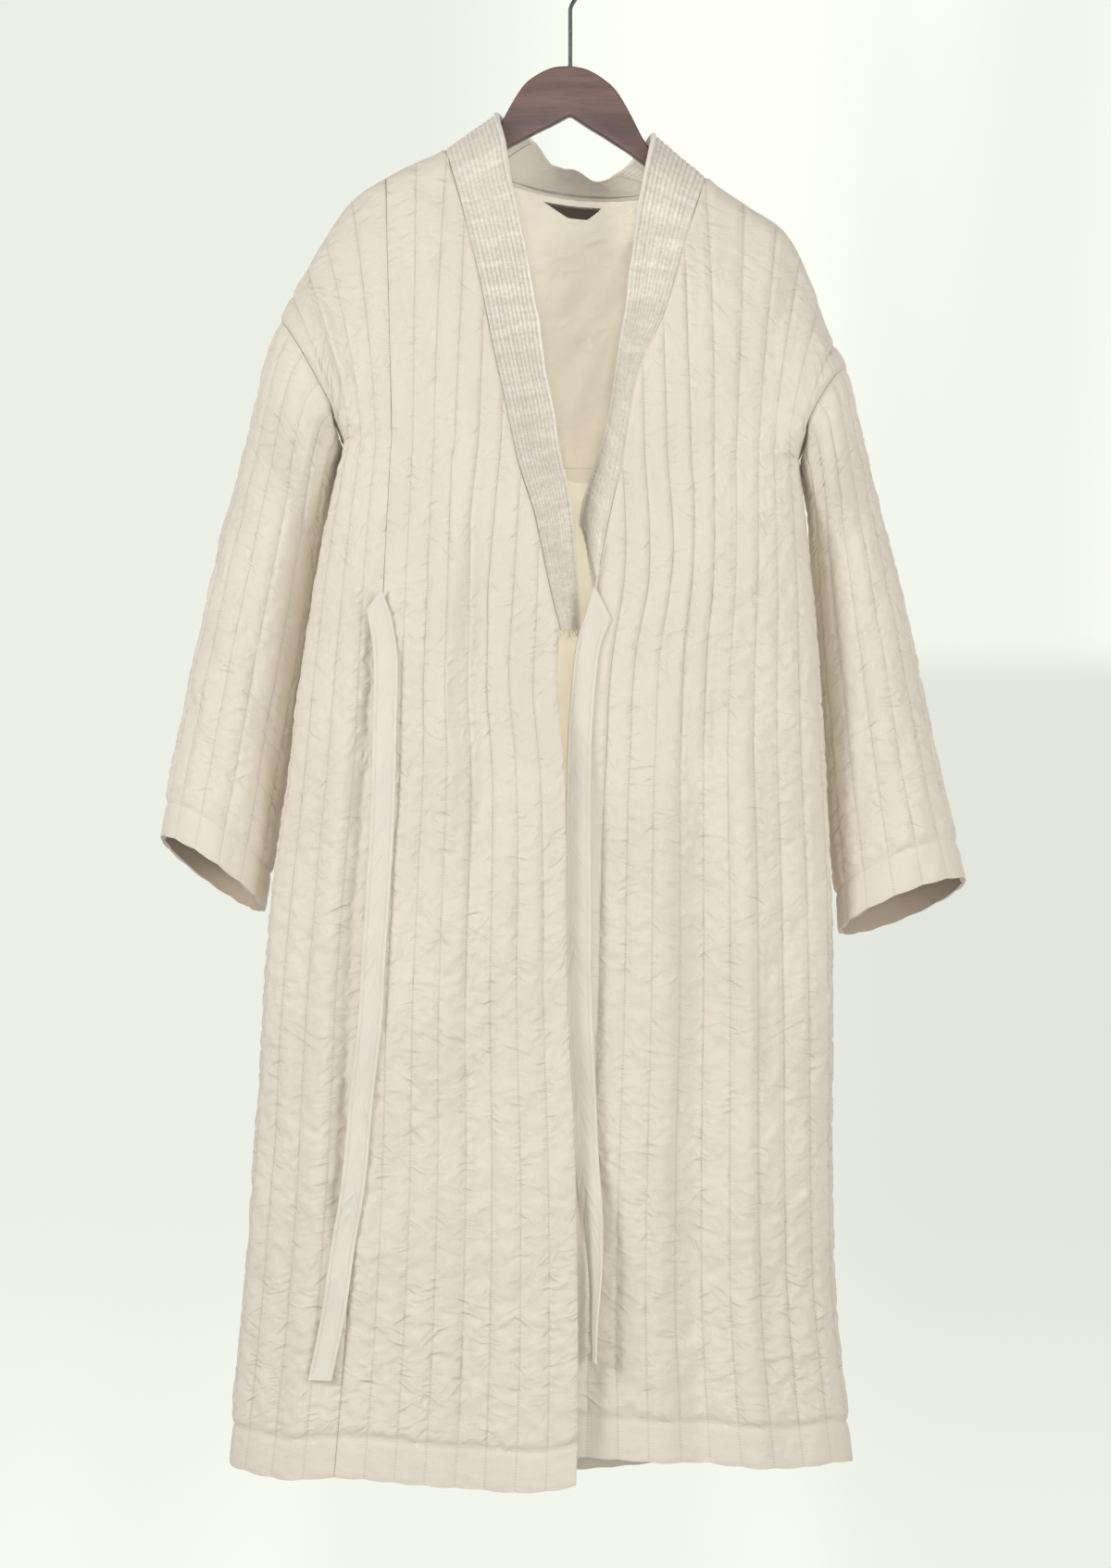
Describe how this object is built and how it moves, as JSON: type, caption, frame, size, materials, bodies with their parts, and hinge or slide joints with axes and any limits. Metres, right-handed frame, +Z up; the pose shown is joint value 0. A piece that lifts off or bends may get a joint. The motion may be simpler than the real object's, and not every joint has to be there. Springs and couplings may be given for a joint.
{
  "type": "quilted padded coat on a hanger",
  "caption": "Knee-length padded wrap coat in upright quilted channels, with a ribbed collar band, loose ties and turned-up cuffs and hem, hanging open on a wooden hanger",
  "frame": {"origin": "seat of the hook: the top of the inside of its bend, where a rail carries it", "axes": "+Z up, +X towards the wearer's left (right in the picture), -Y out of the front of the coat"},
  "size_m": [0.6939, 0.1898, 1.3446],
  "materials": {
    "quilt": "matt beige quilted cotton over thin padding",
    "rib": "pale ribbed cloth, worn across",
    "plain": "plain beige cotton",
    "lining": "cream lining cloth",
    "tie": "pale folded cloth strip",
    "label": "dark woven tape, bare",
    "wood": "dark brown stain under satin lacquer",
    "wire": "dark grey wire"
  },
  "bodies": {
    "root": {"hanger_wood": "wood", "hanger_hook": "wire", "front_right_side": "quilt", "front_right": "quilt", "front_left": "quilt", "back": "quilt", "sleeve_right": "quilt", "sleeve_left": "quilt", "collar": "rib", "collar_facing": "plain", "back_yoke": "plain", "back_lining": "lining", "tie_right": "tie", "tie_left": "tie", "label": "label"}
  },
  "joints": []
}
